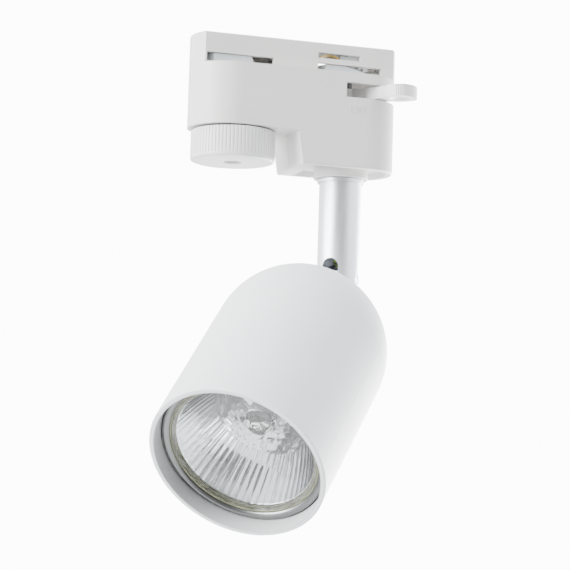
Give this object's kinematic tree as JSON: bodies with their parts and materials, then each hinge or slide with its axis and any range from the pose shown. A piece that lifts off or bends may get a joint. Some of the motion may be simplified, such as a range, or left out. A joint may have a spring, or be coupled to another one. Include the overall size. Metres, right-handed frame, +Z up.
{
  "type": "track spotlight",
  "caption": "Track spotlight: rail adapter with phase dial and lock lever, slotted chrome stem that pans, and a bullet-shaped head that tilts and holds a reflector lamp.",
  "frame": {"origin": "centre of the adapter's top face, the one that goes up into the rail", "axes": "+Z up into the rail; +X along the rail towards the lever end; -Y the front of the adapter, the side the lever swings to"},
  "size_m": [0.0963, 0.0923, 0.1674],
  "materials": {
    "shell_white": "satin moulded",
    "dial_white": "satin moulded",
    "cam_white": "smooth moulded",
    "inner_plastic": "moulded",
    "head_white": "fine matte powder coat",
    "stem_chrome": "polished plate",
    "steel": "zinc plated",
    "brass": "bright strip",
    "bush_nylon": "natural nylon",
    "ring_metal": "satin turned",
    "ceramic": "unglazed",
    "reflector_silver": "faceted coated glass",
    "clear_glass": "clear",
    "pin_metal": "nickel plated",
    "tungsten": "drawn wire",
    "lead_brown": "silicone sleeve",
    "lead_blue": "silicone sleeve",
    "lead_earth": "silicone sleeve"
  },
  "bodies": {
    "adapter": {"adapter_front_shell": "shell_white", "adapter_back_shell": "shell_white", "shell_screws": "steel", "terminal_block": "inner_plastic", "terminal_screws": "brass", "contact_springs": "brass", "adapter_lead_live": "lead_brown", "adapter_lead_neutral": "lead_blue", "adapter_lead_earth": "lead_earth", "stem_collar": "shell_white"},
    "phase_dial": {"phase_knob": "dial_white", "knob_screw": "steel", "phase_shaft": "inner_plastic", "phase_drum": "inner_plastic", "phase_wiper": "brass", "phase_cam": "cam_white"},
    "lever": {"lock_lever": "dial_white", "lever_shaft": "inner_plastic", "lock_cam": "cam_white", "earth_contact": "steel", "contact_rotor": "cam_white", "live_contact": "brass"},
    "stem": {"stem_tube": "stem_chrome", "stem_ring": "stem_chrome", "stem_nipple": "steel", "tube_nut": "steel", "adapter_nut": "steel", "pan_washer": "steel", "pivot_pin": "stem_chrome", "pivot_bushes": "bush_nylon", "stem_lead_live": "lead_brown", "stem_lead_neutral": "lead_blue", "stem_lead_earth": "lead_earth"},
    "head": {"head_shell": "head_white", "head_stud": "stem_chrome", "dome_nut": "steel", "bracket_nut": "steel", "socket_bracket": "steel", "holder_screws": "steel", "lamp_holder": "ceramic", "head_lead_live": "lead_brown", "head_lead_neutral": "lead_blue", "lamp_ring": "ring_metal"},
    "lamp": {"lamp_pins": "pin_metal", "lamp_base": "ceramic", "lamp_reflector": "reflector_silver", "lamp_glass": "clear_glass", "lamp_capsule": "clear_glass", "lamp_filament": "tungsten"}
  },
  "joints": [
    {"name": "dial_turn", "type": "hinge", "parent": "adapter", "child": "phase_dial", "pos_m": [-0.0205, 0, -0.037], "axis": [0, 0, 1], "range_deg": [-90, 90]},
    {"name": "lever_swing", "type": "hinge", "parent": "adapter", "child": "lever", "pos_m": [0.0182, 0, -0.0166], "axis": [0, 0, -1], "range_deg": [-48, 42]},
    {"name": "stem_pan", "type": "hinge", "parent": "adapter", "child": "stem", "pos_m": [0.0184, 0, -0.045], "axis": [0, 0, 1], "range_deg": [-121.6, 208.4]},
    {"name": "head_tilt", "type": "hinge", "parent": "stem", "child": "head", "pos_m": [0.0184, 0, -0.08], "axis": [-0.7266, 0.6871, 0], "range_deg": [-48.3, 41.7]},
    {"name": "lamp_twist", "type": "hinge", "parent": "head", "child": "lamp", "pos_m": [-0.02905, -0.05018, -0.14153], "axis": [-0.513, -0.5425, -0.6652], "range_deg": [0, 25]}
  ]
}
